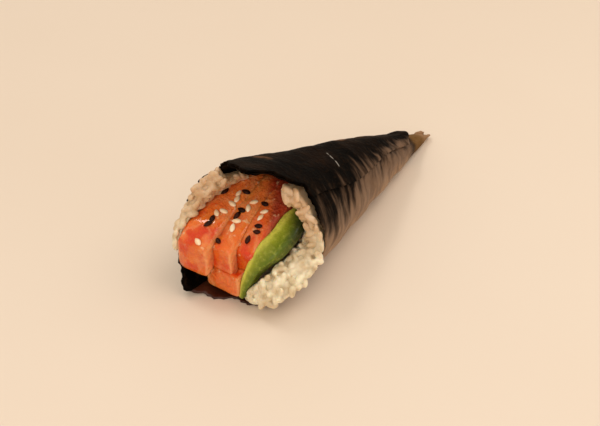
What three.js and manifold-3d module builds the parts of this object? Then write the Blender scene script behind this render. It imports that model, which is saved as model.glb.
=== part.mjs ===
// Temaki hand roll lying on its side: a nori cone with sushi rice, four strips of salmon,
// three of them sprinkled with sesame seeds, and a slice of avocado.
// Millimetres, +Z up. The tip of the cone points along +X and its mouth along -X.
// While it is built, the cone's imaginary apex is at 0, 0, 0 on the surface it lies on.
import * as THREE from 'three';
import Module from 'manifold-3d';

const wasm = await Module();
wasm.setup();
const { clamp, degToRad, lerp, radToDeg, smoothstep } = THREE.MathUtils;

// ---- Driving dimensions, in millimetres and degrees ----

// The nori cone. A slant is measured from the apex along the cone; an angle goes round the
// cone's axis: 0 is the +Y side, 90 the top, 180 the -Y side and 270 what the roll lies on.
const coneHalfAngle = 11.2;
const coneSettle = 0.025;        // how far the whole roll sinks, as a share of its radius
const underSettle = 0.0375;      // how much further its underside is flattened where it lies
const sheetThickness = 0.6;
const layerGap = 0.35;
const sheetStart = -60;
const sheetEnd = 500;
const sheetStep = 10;            // degrees between two columns of the sheet
const sheetRows = 13;
const tipSlant = 12;
const flapTipSlant = 30;         // where the outer layer of the sheet ends, near the tip
const flapLift = 1.2;            // how far that end stands up over the top of the roll
const flapLiftLength = 9;
const rippleHeight = 0.34;
const clearance = 0.3;

// How much higher the roll's top runs than a straight cone's, as slant and rise: it is squashed at
// the tip and a little full behind it.
const topProfile = [
  [12, -2.9], [20, -2.1], [31, -1.4], [45, -0.5], [57, 0.5], [80, 0.7], [92, 0.1], [110, -0.5], [140, -0.7],
];

// The mouth of the sheet, as angle and slant, round the cone.
const mouthOutline = [
  [0, 138], [25, 136], [42, 132], [60, 136], [78, 143], [93, 145], [103, 135], [116, 130.5], [126, 126],
  [140, 126], [158, 125.5], [175, 122], [192, 121], [215, 129], [240, 137], [270, 140], [290, 145],
  [306, 150], [322, 146], [342, 141],
];

// The rice: where it ends at the mouth, how far from the cone's axis its hollow starts there, and
// how far it swells out past the nori's edge.
const riceBack = 27;
const riceThroat = [76, 102];    // slants between which the hollow for the filling opens up
const riceSlit = 10;             // degrees left open at the top further in than that
const riceInset = 0.7;           // room between the rice and the nori round it
const riceStep = 12;             // degrees between two columns of the rice core
const riceRows = [0, 0.34, 0.56, 0.7, 0.8, 0.89, 0.95, 1];
const riceLeftTop = 42;
const riceRightTop = 112;
const riceRim = [
  [-248, 132], [-240, 131], [-220, 128], [-200, 127], [-180, 125], [-168, 126], [-158, 132], [-148, 140],
  [-136, 143.5], [-124, 143], [-110, 142], [-100, 141.5], [-92, 136], [-70, 133], [-52, 137], [-44, 144],
  [-38, 148.5], [-24, 149.5], [-8, 146.5], [5, 143.5], [20, 141.5], [42, 136.5],
];
const riceHollow = [
  [-248, 20.5], [-240, 18], [-228, 16.5], [-215, 17], [-190, 16], [-172, 15.5], [-150, 16], [-125, 18],
  [-110, 19], [-100, 20], [-92, 14], [-60, 6], [-45, 12], [-35, 20], [-20, 22], [-5, 21.3], [10, 21],
  [42, 20],
];
const riceBulge = [
  [-248, 1], [-200, 1], [-180, 2.5], [-166, 4], [-154, 4], [-140, 2.5], [-120, 1.6], [-60, 1.2], [-20, 1.2],
  [8, 1.2], [24, 2], [42, 2.2],
];
const riceThinnest = 2;
const riceSolid = 0.6;           // radius of the hollow where there is none to speak of
const grainLength = 6.2;
const grainWidth = 2.5;
const grainCount = 138;
const hiddenSlant = 110;         // no grains further into the cone, or nearer its axis, than this
const hiddenRadius = 14;
const lowestGrain = 1.5;
const grainTilt = 0.5;           // how far a grain tips out of the surface it lies on
const mostLost = 0.2;            // share of a grain that its neighbours may cut off

const seedLength = 3.1;
const seedWidth = 1.8;
const seedHeight = 1.1;
const seedLift = 0.12;           // how far a seed's middle is above the salmon, against its height
const seedDrift = 0.6;           // how far across a strip the seeds of a patch are spread

// ---- Numbers that vary evenly and repeat the same way each time ----

function createRandom(seed) {
  let state = seed;
  return () => {
    state = (Math.imul(state, 1664525) + 1013904223) >>> 0;
    return state / 4294967296;
  };
}

// Smooth interpolation through [position, value] pairs in ascending order.
function interpolate(pairs, position) {
  const last = pairs.length - 1;
  const place = clamp(position, pairs[0][0], pairs[last][0]);
  let right = 1;
  while (right < last && pairs[right][0] < place) right += 1;
  const [startPlace, startValue] = pairs[right - 1];
  const [endPlace, endValue] = pairs[right];
  const share = smoothstep(place, startPlace, endPlace);
  return lerp(startValue, endValue, share);
}

const wrapAngle = (angle) => ((angle % 360) + 360) % 360;
const closedMouth = [...mouthOutline, [360, mouthOutline[0][1]]];

// ---- The cone ----

const halfAngle = degToRad(coneHalfAngle);
const slope = Math.sin(halfAngle);
const axis = new THREE.Vector3(-Math.cos(halfAngle), 0, slope);
const sideways = new THREE.Vector3(0, 1, 0);
const upward = new THREE.Vector3(slope, 0, Math.cos(halfAngle));

function pointOnCone(slant, angle, radius, floor) {
  const turn = degToRad(angle);
  const point = new THREE.Vector3()
    .addScaledVector(axis, slant * Math.cos(halfAngle))
    .addScaledVector(sideways, radius * Math.cos(turn))
    .addScaledVector(upward, radius * Math.sin(turn));
  const underneath = Math.max(0, -Math.sin(turn)) ** 2;
  const settle = coneSettle + underSettle * underneath;
  const onTop = Math.max(0, Math.sin(turn)) * Math.min(1, radius / (0.7 * slant * slope));
  const rise = interpolate(topProfile, slant) * onTop;
  point.z = Math.max(point.z + rise - settle * slant * slope, floor);
  return point;
}

// Wrinkles of the nori: long folds towards the tip and finer ones across them on the -Y side.
function ripple(slant, angle) {
  const turn = degToRad(angle);
  const long = Math.sin(7 * turn + 0.05 * slant) + 0.7 * Math.sin(11 * turn - 0.08 * slant);
  const cross = Math.sin(0.3 * slant + 4 * turn) * Math.max(0, Math.sin(turn - 1.9));
  const size = rippleHeight * Math.min(1, slant / 70);
  return size * (0.55 * long + 0.9 * cross);
}

// ---- Closed solids from grids and rings of points ----

function solidFromMesh(points, triangles) {
  const vertProperties = new Float32Array(points.flatMap((point) => point.toArray()));
  const build = (corners) => new wasm.Manifold(
    new wasm.Mesh({ numProp: 3, vertProperties, triVerts: new Uint32Array(corners.flat()) }),
  );
  const solid = build(triangles);
  return solid.volume() > 0 ? solid : build(triangles.map(([a, b, c]) => [a, c, b]));
}

// A thick sheet between two grids of the same size, closed round its rim.
// Each cell of both faces is split into triangles along the same diagonal.
function solidSheet(outerGrid, innerGrid) {
  const rows = outerGrid.length;
  const columns = outerGrid[0].length;
  const points = [...outerGrid.flat(), ...innerGrid.flat()];
  const outer = (row, column) => row * columns + column;
  const inner = (row, column) => rows * columns + outer(row, column);
  const triangles = [];
  for (let row = 0; row + 1 < rows; row += 1) {
    for (let column = 0; column + 1 < columns; column += 1) {
      const cell = [[row, column], [row, column + 1], [row + 1, column + 1], [row + 1, column]];
      const [a, b, c, d] = cell.map(([r, k]) => outer(r, k));
      const [e, f, g, h] = cell.map(([r, k]) => inner(r, k));
      triangles.push([a, b, c], [a, c, d], [e, g, f], [e, h, g]);
    }
  }
  const rim = [];
  for (let column = 0; column + 1 < columns; column += 1) rim.push([0, column]);
  for (let row = 0; row + 1 < rows; row += 1) rim.push([row, columns - 1]);
  for (let column = columns - 1; column > 0; column -= 1) rim.push([rows - 1, column]);
  for (let row = rows - 1; row > 0; row -= 1) rim.push([row, 0]);
  rim.forEach(([row, column], index) => {
    const [nextRow, nextColumn] = rim[(index + 1) % rim.length];
    const a = outer(row, column);
    const b = outer(nextRow, nextColumn);
    const c = inner(nextRow, nextColumn);
    const d = inner(row, column);
    triangles.push([b, a, d], [b, d, c]);
  });
  return solidFromMesh(points, triangles);
}

// A tube through rings of points, closed at both ends by a fan to the ring's middle.
function solidTube(rings) {
  const count = rings[0].length;
  const points = rings.flat();
  const triangles = [];
  for (let ring = 0; ring + 1 < rings.length; ring += 1) {
    for (let corner = 0; corner < count; corner += 1) {
      const a = ring * count + corner;
      const b = ring * count + ((corner + 1) % count);
      triangles.push([a, b, b + count], [a, b + count, a + count]);
    }
  }
  const closeEnd = (ring, flip) => {
    const middle = new THREE.Vector3();
    rings[ring].forEach((point) => middle.addScaledVector(point, 1 / count));
    points.push(middle);
    for (let corner = 0; corner < count; corner += 1) {
      const a = ring * count + corner;
      const b = ring * count + ((corner + 1) % count);
      triangles.push(flip ? [b, a, points.length - 1] : [a, b, points.length - 1]);
    }
  };
  closeEnd(0, true);
  closeEnd(rings.length - 1, false);
  return solidFromMesh(points, triangles);
}

// What is left of a solid once others are cut out of it.
const cut = (solid, others) => others.reduce((rest, other) => rest.subtract(other), solid);

// ---- The nori ----

function mouthSlant(angle) {
  const ragged = 0.5 * Math.sin(degToRad(angle * 17)) + 0.4 * Math.sin(angle);
  return interpolate(closedMouth, wrapAngle(angle)) + ragged;
}

function sheetBack(angle) {
  const start = sheetStart + 360;
  const flap = smoothstep(angle, start, start + 40);
  const slantedEnd = 8 * smoothstep(angle, sheetEnd - 40, sheetEnd);
  return lerp(tipSlant, flapTipSlant, flap) + slantedEnd + 0.8 * Math.sin(angle * 0.11);
}

// How far the end of the outer layer stands up off the layer under it.
function flapRise(slant, angle) {
  const flap = smoothstep(angle, sheetStart + 360, sheetStart + 400);
  const nearEnd = 1 - smoothstep(slant, sheetBack(angle), sheetBack(angle) + flapLiftLength);
  return flapLift * flap * nearEnd * Math.max(0, Math.sin(degToRad(angle)));
}

function noriSheet() {
  const outerGrid = [];
  const innerGrid = [];
  for (let row = 0; row < sheetRows; row += 1) {
    const share = row / (sheetRows - 1);
    const outerRow = [];
    const innerRow = [];
    for (let angle = sheetStart; angle <= sheetEnd; angle += sheetStep) {
      const layer = (layerGap + sheetThickness) * ((angle - sheetStart) / 360 - 1);
      const slant = lerp(sheetBack(angle), mouthSlant(angle), share);
      const free = smoothstep(angle, sheetEnd - 2 * sheetStep, sheetEnd);
      const edge = 5 * free * Math.sin(0.09 * slant);
      const lift = flapRise(slant, angle) + 0.25 * free;
      const radius = slant * slope + layer + ripple(slant, angle) + lift;
      outerRow.push(pointOnCone(slant, angle + edge, radius, 0));
      innerRow.push(pointOnCone(slant, angle + edge, radius - sheetThickness, sheetThickness));
    }
    outerGrid.push(outerRow);
    innerGrid.push(innerRow);
  }
  return solidSheet(outerGrid, innerGrid);
}

// All that the nori takes up with a little room round it: what the filling has to stay out of.
function noriKeepOut() {
  const outside = 6;
  const layer = layerGap + sheetThickness;
  const rings = [];
  const makeRing = (share, isInner) => {
    const ring = [];
    for (let angle = sheetStart; angle < sheetStart + 360; angle += sheetStep) {
      const turned = angle > sheetStart ? (angle - sheetStart) / 360 - 1 : -1;
      const back = tipSlant - 2;
      const slant = lerp(back, mouthSlant(angle) + clearance, share);
      const face = slant * slope + layer * turned + ripple(slant, angle);
      const floor = isInner ? sheetThickness + clearance : -outside;
      const radius = isInner ? face - sheetThickness - clearance : face + outside;
      ring.push(pointOnCone(slant, angle, radius, floor));
    }
    return ring;
  };
  for (let row = 0; row < sheetRows; row += 1) rings.push(makeRing(row / (sheetRows - 1), true));
  for (let row = sheetRows - 1; row >= 0; row -= 1) rings.push(makeRing(row / (sheetRows - 1), false));
  const count = rings[0].length;
  const triangles = [];
  rings.forEach((ring, index) => {
    const next = (index + 1) % rings.length;
    for (let corner = 0; corner < count; corner += 1) {
      const side = (corner + 1) % count;
      const [a, b] = [index * count + corner, index * count + side];
      const [c, d] = [next * count + side, next * count + corner];
      triangles.push([a, b, c], [a, c, d]);
    }
  });
  return solidFromMesh(rings.flat(), triangles);
}

// ---- The filling ----

// Each strip follows a curve along the middle of its top, from the mouth into the cone. Half
// width and thickness are pairs of share of its length and size. lean tilts its front face.
const strips = {
  salmon_left: {
    top: [[-145.4, 15.3, 22], [-138, 15.5, 26], [-129, 15.4, 28.3], [-119, 14, 31.4], [-108, 11.8, 33.4],
      [-95, 8.6, 29.5], [-80, 6.5, 23]],
    halfWidth: [[0, 6.6], [0.4, 5.9], [1, 3.4]],
    thickness: [[0, 12], [0.4, 10], [1, 6]],
    lean: 0.5,
  },
  salmon_middle: {
    top: [[-141.2, 6.6, 20.6], [-131, 6.8, 25.2], [-120, 6.2, 29.8], [-108, 5, 33], [-96, 3.8, 31],
      [-82, 3, 26], [-66, 2.5, 19]],
    halfWidth: [[0, 4], [0.5, 3.2], [1, 2.2]],
    thickness: [[0, 11.5], [0.4, 9], [1, 6]],
    lean: 0.45,
  },
  salmon_right: {
    top: [[-137.2, -0.7, 20.6], [-130, -0.9, 25.6], [-121, -1.4, 30], [-112, -1.6, 33], [-101, -1.8, 33.5],
      [-88, -2, 28], [-76, -1.8, 23]],
    halfWidth: [[0, 4.9], [0.3, 5.4], [0.6, 4.7], [1, 3.4]],
    thickness: [[0, 12], [0.4, 9.5], [1, 6]],
    lean: 0.6,
  },
  salmon_under: {
    top: [[-141.5, 5, 9.6], [-134, 4.9, 10.3], [-122, 4.4, 12.5], [-108, 3, 15.5]],
    halfWidth: [[0, 7], [0.5, 6.2], [1, 4]],
    thickness: [[0, 7.2], [1, 7]],
    lean: 0,
  },
  avocado: {
    top: [[-141.5, -3, 3.5], [-140.6, -4.4, 10], [-138.4, -6.6, 17], [-133.5, -9.5, 23.6], [-126, -11, 27.3],
      [-118, -10.6, 30], [-109, -9, 32]],
    halfWidth: [[0, 0.8], [0.2, 2.5], [0.5, 4.5], [0.75, 4.3], [1, 1]],
    thickness: [[0, 4], [0.3, 5.5], [1, 4]],
    lean: 0,
  },
};
const stripStations = 12;
const stripCorners = 10;
const bluntEnd = 0.92;           // size of the end rings against the ring beside them
const endInset = 0.45;           // how far that ring is moved towards the end, in rings
const squareness = 0.5;          // power that squares off an oval cross-section
const leanReach = 0.3;           // share of a strip's length over which its front face tilts

function stripCurve(name) {
  return new THREE.CatmullRomCurve3(strips[name].top.map((point) => new THREE.Vector3(...point)));
}

// Where a strip's top is at a share of its length, with the directions along, across and out.
function stripFrame(curve, share) {
  const place = curve.getPointAt(share);
  const along = curve.getTangentAt(share);
  const across = sideways.clone().addScaledVector(along, -along.y).normalize();
  return { place, along, across, out: new THREE.Vector3().crossVectors(along, across) };
}

function layStrip(name, grow) {
  const curve = stripCurve(name);
  const rings = [];
  for (let station = 0; station < stripStations; station += 1) {
    const lastStation = stripStations - 1;
    const isEnd = station === 0 || station === lastStation;
    const share = isEnd ? station / lastStation : (station - endInset) / (lastStation - 1);
    const { place, along, across, out } = stripFrame(curve, share);
    const halfWidth = interpolate(strips[name].halfWidth, share) * (isEnd ? bluntEnd : 1) + grow;
    const thickness = interpolate(strips[name].thickness, share);
    const halfDepth = thickness / 2 * (isEnd ? bluntEnd : 1) + grow;
    const endShift = isEnd ? grow * (station === 0 ? -1 : 1) : 0;
    const lean = strips[name].lean * (1 - smoothstep(share, 0, leanReach));
    const ring = [];
    for (let corner = 0; corner < stripCorners; corner += 1) {
      const turn = 2 * Math.PI * (corner + 0.5) / stripCorners;
      const sideShare = Math.sign(Math.cos(turn)) * Math.abs(Math.cos(turn)) ** squareness;
      const deepShare = Math.sign(Math.sin(turn)) * Math.abs(Math.sin(turn)) ** squareness;
      const depth = thickness / 2 - deepShare * halfDepth;
      ring.push(place.clone()
        .addScaledVector(along, endShift - lean * depth)
        .addScaledVector(across, sideShare * halfWidth)
        .addScaledVector(out, -depth));
    }
    rings.push(ring);
  }
  return solidTube(rings);
}

// ---- Sesame seeds and rice grains ----

// A small closed body of revolution about its length, as pairs of place along it and radius
// for a body 1 long and 1 wide.
const grainProfile = [[-0.5, 0], [-0.26, 0.46], [0.24, 0.42], [0.5, 0]];
const seedProfile = [[-0.5, 0], [-0.22, 0.5], [0.28, 0.36], [0.5, 0]];
const smallSides = 4;

function smallBody(profile, length, width, height) {
  const lathe = new THREE.LatheGeometry(profile.map(([x, r]) => new THREE.Vector2(r, x)), smallSides);
  lathe.rotateZ(-Math.PI / 2);
  lathe.scale(length, height, width);
  return lathe;
}

function solidFromGeometry(geometry) {
  const index = geometry.getIndex().array;
  const position = geometry.getAttribute('position');
  const points = [];
  const numbers = new Map();
  const number = Array.from({ length: position.count }, (unused, corner) => {
    const point = new THREE.Vector3().fromBufferAttribute(position, corner);
    const key = point.toArray().map((value) => Math.round(value * 1000)).join();
    if (!numbers.has(key)) {
      numbers.set(key, points.length);
      points.push(point);
    }
    return numbers.get(key);
  });
  const triangles = [];
  for (let corner = 0; corner < index.length; corner += 3) {
    const [a, b, c] = [0, 1, 2].map((step) => number[index[corner + step]]);
    if (a !== b && b !== c && c !== a) triangles.push([a, b, c]);
  }
  return solidFromMesh(points, triangles);
}

// Puts a small body at a place, its length along one direction and its flat side facing out.
function placeBody(geometry, place, along, out) {
  const x = along.clone().addScaledVector(out, -along.dot(out)).normalize();
  const z = new THREE.Vector3().crossVectors(x, out).normalize();
  const matrix = new THREE.Matrix4().makeBasis(x, out, z).setPosition(place);
  return solidFromGeometry(geometry.clone().applyMatrix4(matrix));
}

// Sprinkled seeds: each strip has patches, given as share of length, share of width, spread
// and how many seeds.
const seedPatches = {
  salmon_left: [[0.03, -0.2, 0.01, 1], [0.15, -0.4, 0.02, 4], [0.29, -0.5, 0.05, 3], [0.36, -0.5, 0.01, 1],
    [0.36, 0.6, 0.02, 2], [0.53, 0.1, 0.01, 1]],
  salmon_middle: [[0.05, 0.6, 0.02, 2], [0.1, -0.2, 0.02, 2], [0.15, 0.4, 0.02, 3], [0.22, 0, 0.02, 2]],
  salmon_right: [[0.08, 0.1, 0.01, 1], [0.14, -0.2, 0.01, 2], [0.22, 0.3, 0.02, 2], [0.3, 0.5, 0.01, 1]],
};

function seedPlaces(name) {
  const random = createRandom(name.length);
  const curve = stripCurve(name);
  return seedPatches[name].flatMap(([middleShare, across, spread, count]) => (
    Array.from({ length: count }, () => {
      const share = middleShare + spread * (2 * random() - 1);
      const offset = clamp(across + seedDrift * (random() - 0.5), -0.62, 0.62);
      const turn = Math.PI * random();
      const frame = stripFrame(curve, share);
      const place = frame.place
        .addScaledVector(frame.across, offset * interpolate(strips[name].halfWidth, share))
        .addScaledVector(frame.out, seedLift * seedHeight);
      const along = frame.along.multiplyScalar(Math.cos(turn)).addScaledVector(frame.across, Math.sin(turn));
      return { place, along, out: frame.out };
    })
  ));
}

function sprinkledStrip(name, grow) {
  let solid = layStrip(name, grow);
  const body = smallBody(seedProfile, seedLength + 2 * grow, seedWidth + 2 * grow, seedHeight + 2 * grow);
  seedPlaces(name).forEach(({ place, along, out }) => {
    solid = solid.add(placeBody(body, place, along, out));
  });
  return solid;
}

// ---- The rice ----

function riceCore() {
  const start = riceRightTop - 360;
  const columns = Math.round((riceLeftTop - start) / riceStep);
  const outerGrid = [];
  const innerGrid = [];
  riceRows.forEach((share) => {
    const outerRow = [];
    const innerRow = [];
    for (let column = 0; column <= columns; column += 1) {
      const place = column / columns;
      const rimAngle = lerp(start, riceLeftTop, place);
      const rim = interpolate(riceRim, rimAngle);
      const slant = lerp(riceBack, rim, share);
      const opening = smoothstep(slant, ...riceThroat);
      const closedAngle = lerp(90 + riceSlit / 2 - 360, 90 - riceSlit / 2, place);
      const angle = lerp(closedAngle, rimAngle, opening);
      const free = smoothstep(slant, mouthSlant(angle) - 3, mouthSlant(angle) + 5);
      const wrapped = 2 * sheetThickness + layerGap + clearance + riceInset;
      const full = slant * slope - wrapped + interpolate(riceBulge, rimAngle) * free;
      const rounded = full * (1 - 0.05 * smoothstep(share, 0.9, 1));
      const wanted = interpolate(riceHollow, rimAngle) * opening;
      const hollow = clamp(wanted, riceSolid, rounded - riceThinnest);
      const floor = lerp(sheetThickness + clearance, 0, free);
      outerRow.push(pointOnCone(slant, angle, rounded, floor + 0.1));
      innerRow.push(pointOnCone(slant, angle, hollow, floor + 1));
    }
    outerGrid.push(outerRow);
    innerGrid.push(innerRow);
  });
  return solidSheet(outerGrid, innerGrid);
}

// Places spread over a solid's own faces, by area, where the food can be seen.
function surfacePlaces(solid, count, random, shows) {
  const { vertProperties, triVerts, numProp } = solid.getMesh();
  const corner = (index) => new THREE.Vector3().fromArray(vertProperties, triVerts[index] * numProp);
  const faces = [];
  let total = 0;
  for (let index = 0; index < triVerts.length; index += 3) {
    const face = new THREE.Triangle(corner(index), corner(index + 1), corner(index + 2));
    const middle = face.getMidpoint(new THREE.Vector3());
    const out = face.getNormal(new THREE.Vector3());
    if (shows(middle, out)) {
      total += face.getArea();
      faces.push({ face, out, total });
    }
  }
  return Array.from({ length: count }, (unused, order) => {
    const wanted = total * (order + random()) / count;
    const { face, out } = faces.find((entry) => entry.total >= wanted) ?? faces[faces.length - 1];
    const [s, t] = [Math.sqrt(random()), random()];
    const place = face.a.clone().multiplyScalar(1 - s)
      .addScaledVector(face.b, s * (1 - t))
      .addScaledVector(face.c, s * t);
    return { place, out };
  });
}

// Slant and angle of a point round the cone.
function coneCoordinates(point) {
  const angle = radToDeg(Math.atan2(point.dot(upward), point.dot(sideways)));
  return { slant: point.dot(axis) / Math.cos(halfAngle), angle: wrapAngle(angle) };
}

function riceHeap(keepOut) {
  const bare = cut(riceCore(), keepOut);
  const random = createRandom(41);
  const body = smallBody(grainProfile, grainLength, grainWidth, grainWidth);
  const shows = (middle, out) => {
    const { slant, angle } = coneCoordinates(middle);
    const fromAxis = middle.clone().addScaledVector(axis, -middle.dot(axis));
    const isOuter = fromAxis.length() > hiddenRadius;
    const facesIn = fromAxis.normalize().dot(out) < 0.3;
    const pastNori = slant > mouthSlant(angle) + 1;
    const isOpen = slant > hiddenSlant && middle.z > lowestGrain && out.x < 0.6;
    return isOpen && isOuter && (pastNori || facesIn);
  };
  let heap = bare;
  surfacePlaces(bare, grainCount, random, shows).forEach(({ place, out }) => {
    const drift = new THREE.Vector3(random() - 0.5, random() - 0.5, random() - 0.5).normalize();
    const lean = out.clone().addScaledVector(drift, grainTilt).normalize();
    const along = new THREE.Vector3(random() - 0.5, random() - 0.5, random() - 0.5).normalize();
    const grain = placeBody(body, place, along, lean);
    const lost = 1 - cut(grain, keepOut).volume() / grain.volume();
    if (lost < mostLost) heap = heap.add(grain);
  });
  return cut(heap, keepOut);
}

// ---- Assembly ----

function largestPiece(solid) {
  const pieces = solid.decompose();
  return pieces.reduce((best, piece) => (piece.volume() > best.volume() ? piece : best));
}

function toMesh(name, solid, material) {
  const { vertProperties, triVerts } = largestPiece(solid).getMesh();
  const geometry = new THREE.BufferGeometry();
  geometry.setAttribute('position', new THREE.BufferAttribute(new Float32Array(vertProperties), 3));
  geometry.setIndex(new THREE.BufferAttribute(new Uint32Array(triVerts), 1));
  geometry.computeVertexNormals();
  const mesh = new THREE.Mesh(geometry, new THREE.MeshStandardMaterial({ ...material, metalness: 0 }));
  mesh.name = name;
  return mesh;
}

const surface = new THREE.BoxGeometry(400, 400, 20).translate(0, 0, -10);
const keepOuts = [noriKeepOut(), solidFromGeometry(surface)];

const salmonNames = ['salmon_left', 'salmon_right', 'salmon_middle', 'salmon_under'];
const stripSolid = (name, grow) => (
  name in seedPatches ? sprinkledStrip(name, grow) : layStrip(name, grow)
);

// Each strip in turn gives way to those that were laid before it.
const laid = new Map();
[...salmonNames, 'avocado'].forEach((name) => {
  const rooms = [...laid.keys()].map((other) => layStrip(other, clearance));
  laid.set(name, cut(stripSolid(name, 0), [...keepOuts, ...rooms]));
});
const rice = riceHeap([...keepOuts, ...[...laid.keys()].map((name) => stripSolid(name, clearance))]);

const salmonLooks = { color: 0xc9692e, roughness: 0.35 };
const handRoll = new THREE.Group();
handRoll.add(
  toMesh('nori', noriSheet(), { color: 0x1c1108, roughness: 0.5 }),
  toMesh('rice', rice, { color: 0xd8c8a0, roughness: 0.5 }),
  ...salmonNames.map((name) => toMesh(name, laid.get(name), salmonLooks)),
  toMesh('avocado', laid.get('avocado'), { color: 0x83822a, roughness: 0.4 }),
);

// The origin is under the middle of the roll, on the surface it lies on.
const extent = new THREE.Box3().setFromObject(handRoll);
const centre = extent.getCenter(new THREE.Vector3());
handRoll.position.set(-centre.x, -centre.y, -extent.min.z);

export default handRoll;
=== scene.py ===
"""Temaki hand roll: nori rolled round rice, strips of salmon with sesame seeds, and avocado.

Lengths are in millimetres from the cone's imaginary apex until a mesh is made. An angle goes
round the cone's axis: 0 is the +Y side, 90 the top, 180 the -Y side, 270 what it lies on.
"""

import math

import bpy
import numpy as np
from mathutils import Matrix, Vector, noise
from mathutils.bvhtree import BVHTree


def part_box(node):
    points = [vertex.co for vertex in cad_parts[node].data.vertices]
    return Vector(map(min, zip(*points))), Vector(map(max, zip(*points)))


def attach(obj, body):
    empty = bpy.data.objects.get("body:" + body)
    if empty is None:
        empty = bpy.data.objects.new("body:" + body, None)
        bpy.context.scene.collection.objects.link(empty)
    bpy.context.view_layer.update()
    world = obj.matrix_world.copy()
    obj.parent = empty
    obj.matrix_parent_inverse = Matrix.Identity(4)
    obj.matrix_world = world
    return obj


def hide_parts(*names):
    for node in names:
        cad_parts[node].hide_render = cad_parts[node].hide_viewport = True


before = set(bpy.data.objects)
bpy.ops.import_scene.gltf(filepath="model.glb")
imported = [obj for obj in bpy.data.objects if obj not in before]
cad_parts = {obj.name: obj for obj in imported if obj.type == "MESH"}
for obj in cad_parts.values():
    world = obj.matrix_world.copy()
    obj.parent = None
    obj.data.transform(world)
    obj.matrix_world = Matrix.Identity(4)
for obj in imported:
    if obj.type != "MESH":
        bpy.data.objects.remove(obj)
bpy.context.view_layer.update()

MM = 0.001
BODY = "root"

# ---- The cone of nori ----
HALF_ANGLE = math.radians(11.2)
SLOPE = math.sin(HALF_ANGLE)
# How far the roll sinks where it lies, as a share of the cone's radius, and how much more below.
SETTLE = 0.025
UNDER_SETTLE = 0.0375
SHEET_THICKNESS = 0.6
LAYER_GAP = 0.35
SHEET_START = -60
SHEET_END = 500
SHEET_STEP = 2
SHEET_ROWS = 112
# The outer layer starts a full turn after the sheet does.
FLAP_START = SHEET_START + 360
TIP_SLANT = 12
FLAP_TIP_SLANT = 30
FLAP_TIP_SPREAD = 40
END_SLANT = 8
TIP_WAVE = 0.8
FLAP_LIFT = 1.2
FLAP_LIFT_LENGTH = 9
RIPPLE_HEIGHT = 0.34
# The end of the outer layer that isn't stuck down, in degrees, and how it waves and stands off.
FREE_EDGE = 20.0
FREE_EDGE_WAVE = 5.0
FREE_EDGE_LIFT = 0.25
# The mouth's edge as angle and slant, and how high its small teeth and chips are.
MOUTH_TEETH = 0.5
MOUTH_TEETH_ROUND = 17
MOUTH_CHIPS = 0.4
MOUTH_OUTLINE = (
    (0, 138), (25, 136), (42, 132), (60, 136), (78, 143), (93, 145), (103, 135), (116, 130.5),
    (126, 126), (140, 126), (158, 125.5), (175, 122), (192, 121), (215, 129), (240, 137), (270, 140),
    (290, 145), (306, 150), (322, 146), (342, 141), (360, 138),
)
# Room between the sheet and what lies in it.
CLEARANCE = 0.3
# How much higher than a straight cone's the roll's top runs, as slant and rise.
TOP_PROFILE = (
    (12, -2.9), (20, -2.1), (31, -1.4), (45, -0.5), (57, 0.5), (80, 0.7), (92, 0.1), (110, -0.5),
    (140, -0.7),
)

# How far the apex lies past the sheet's +X end, and from its -Y side.
TIP_REACH = 10.463
SIDE_REACH = 23.005
nori_low, nori_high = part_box("nori")
APEX = Vector((nori_high.x / MM + TIP_REACH, nori_low.y / MM + SIDE_REACH, 0))

# The slant up to which the tip is worn thin and pale.
TIP_THIN = 31
# Spots as slant, angle, half length and half width, the first two painted highlights and the last a
# reddish-brown tint; a crease as angle and slant at its two ends.
HIGHLIGHT_AND_TINT_SPOTS = ((125, 76, 3, 9), (76, 74, 5, 7), (57, 74, 9, 9))
CREASE = (97, 95, 122, 98)

# ---- The rice: a wall round the strips, open at the top, where it closes towards the tip ----
# The slants that it starts at and opens between, the slit's width in degrees, the room round it,
# the degrees from one column to the next, and the angles of its two top edges.
RICE_BACK = 27
RICE_THROAT = (76, 102)
RICE_SLIT = 10
RICE_INSET = 0.7
RICE_STEP = 3
RICE_LEFT_TOP = 42
RICE_RIGHT_TOP = 112
RICE_ROWS = 34
RICE_ROW_SPREAD = 0.7
RICE_RIM_ROUNDING = 0.05
# By angle: the slant that the rice ends at, its hollow's radius, and how far it stands past the cone.
RICE_RIM = (
    (-248, 132), (-240, 131), (-220, 128), (-200, 127), (-180, 125), (-168, 126), (-158, 132),
    (-148, 140), (-136, 143.5), (-124, 143), (-110, 142), (-100, 141.5), (-92, 136), (-70, 133),
    (-52, 137), (-44, 144), (-38, 148.5), (-24, 149.5), (-8, 146.5), (5, 143.5), (20, 141.5), (42, 136.5),
)
RICE_HOLLOW = (
    (-248, 20.5), (-240, 18), (-228, 16.5), (-215, 17), (-190, 16), (-172, 15.5), (-150, 16), (-125, 18),
    (-110, 19), (-100, 20), (-92, 14), (-60, 6), (-45, 12), (-35, 20), (-20, 22), (-5, 21.3), (10, 21),
    (42, 20),
)
RICE_BULGE = (
    (-248, 1), (-200, 1), (-180, 2.5), (-166, 4), (-154, 4), (-140, 2.5), (-120, 1.6), (-60, 1.2),
    (-20, 1.2), (8, 1.4), (24, 2.6), (42, 2.8),
)
RICE_THINNEST = 2
RICE_SOLID = 0.6
# Loose grains lie where it can be seen: this near the mouth, this far out and this high up.
SHOWN_SLANT = 104
SHOWN_RADIUS = 13
SHOWN_HEIGHT = 1.2
GRAIN_LENGTH = 5.4
GRAIN_WIDTH = 2.6
GRAIN_SPACING = 2.0
GRAIN_BEND = 0.16
GRAIN_SEED = 5
# Places along a grain and its radius there, for a length and a width of 1.
GRAIN_PROFILE = (
    (-0.5, 0.1), (-0.44, 0.27), (-0.3, 0.43), (-0.08, 0.5), (0.16, 0.49), (0.34, 0.39), (0.45, 0.24),
    (0.5, 0.08),
)
SKIN_FINENESS = 0.345
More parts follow.
